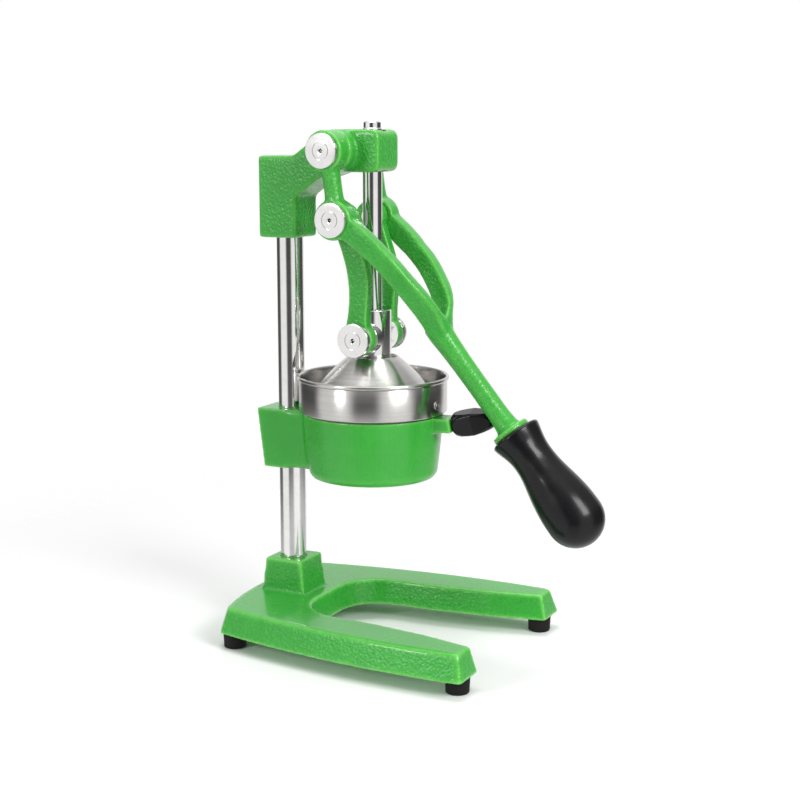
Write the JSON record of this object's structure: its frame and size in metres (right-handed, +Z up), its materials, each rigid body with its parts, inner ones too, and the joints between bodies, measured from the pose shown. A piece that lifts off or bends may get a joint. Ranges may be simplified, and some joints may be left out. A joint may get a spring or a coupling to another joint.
{
  "type": "lever citrus press",
  "caption": "Standing citrus press: a long cranked lever with a round grip drives a pressing dome through links into a strainer cup held on a column over a forked base.",
  "frame": {"origin": "on the floor, on the machine's centre line, halfway between the grip's foremost point at rest and the back of the base", "axes": "+Z up along the column and the ram, +X to the right across the machine as its user sees it from the front, -Y towards the user, the way the lever points"},
  "size_m": [0.211, 0.3224, 0.4365],
  "materials": {
    "green_enamel": "glossy green enamel over cast iron, with a faint cast texture under it",
    "black_rubber": "matt moulded rubber",
    "black_plastic": "half glossy moulded plastic",
    "polished_steel": "polished, chrome plated",
    "stainless_steel": "spun stainless steel, brushed round its axis",
    "plain_steel": "turned zinc plated steel",
    "dark_steel": "black oxide",
    "bronze": "plain sintered bronze"
  },
  "bodies": {
    "stand": {"base": "green_enamel", "foot_front_left": "black_rubber", "foot_front_right": "black_rubber", "foot_rear_left": "black_rubber", "foot_rear_right": "black_rubber", "foot_screws": "plain_steel", "column": "polished_steel", "column_bolt": "plain_steel", "column_washer": "plain_steel", "head": "green_enamel", "head_set_screws": "dark_steel", "ram_bush_upper": "bronze", "ram_bush_lower": "bronze", "pivot_shaft": "plain_steel", "pivot_cap_left": "polished_steel", "pivot_cap_right": "polished_steel", "holder": "green_enamel", "holder_set_screw": "dark_steel", "holder_knob": "black_plastic", "cup": "stainless_steel", "cup_rivet": "stainless_steel", "strainer": "stainless_steel"},
    "lever_arm": {"lever": "green_enamel", "grip": "black_plastic", "grip_rod": "plain_steel", "link_pin_left": "plain_steel", "link_pin_right": "plain_steel", "link_pin_cap_left": "polished_steel", "link_pin_cap_right": "polished_steel"},
    "links": {"link_left": "green_enamel", "link_right": "green_enamel", "link_pin_end_left": "plain_steel", "link_pin_end_right": "plain_steel"},
    "ram": {"ram_rod": "polished_steel", "ram_head": "polished_steel", "ram_pin": "plain_steel", "ram_pin_washer_left": "polished_steel", "ram_pin_washer_right": "polished_steel", "ram_pin_cap_left": "polished_steel", "ram_pin_cap_right": "polished_steel", "press_dome": "stainless_steel", "dome_screw": "plain_steel"}
  },
  "joints": [
    {"name": "lever_swing", "type": "hinge", "parent": "stand", "child": "lever_arm", "pos_m": [0, 0.06514, 0.4135], "axis": [-1, 0, 0], "range_deg": [0, 95]},
    {"name": "ram_slide", "type": "slide", "parent": "stand", "child": "ram", "axis": [0, 0, 1], "range_m": [0, 0.07177]},
    {"name": "link_swing", "type": "hinge", "parent": "ram", "child": "links", "pos_m": [0, 0.04374, 0.2613], "axis": [-1, 0, 0], "range_deg": [-27.28, 0]}
  ],
  "couplings": [
    {"joint": "ram_slide", "follows": "lever_swing", "m_per_rad": 0.04328},
    {"joint": "link_swing", "follows": "lever_swing", "ratio": -0.28714}
  ]
}
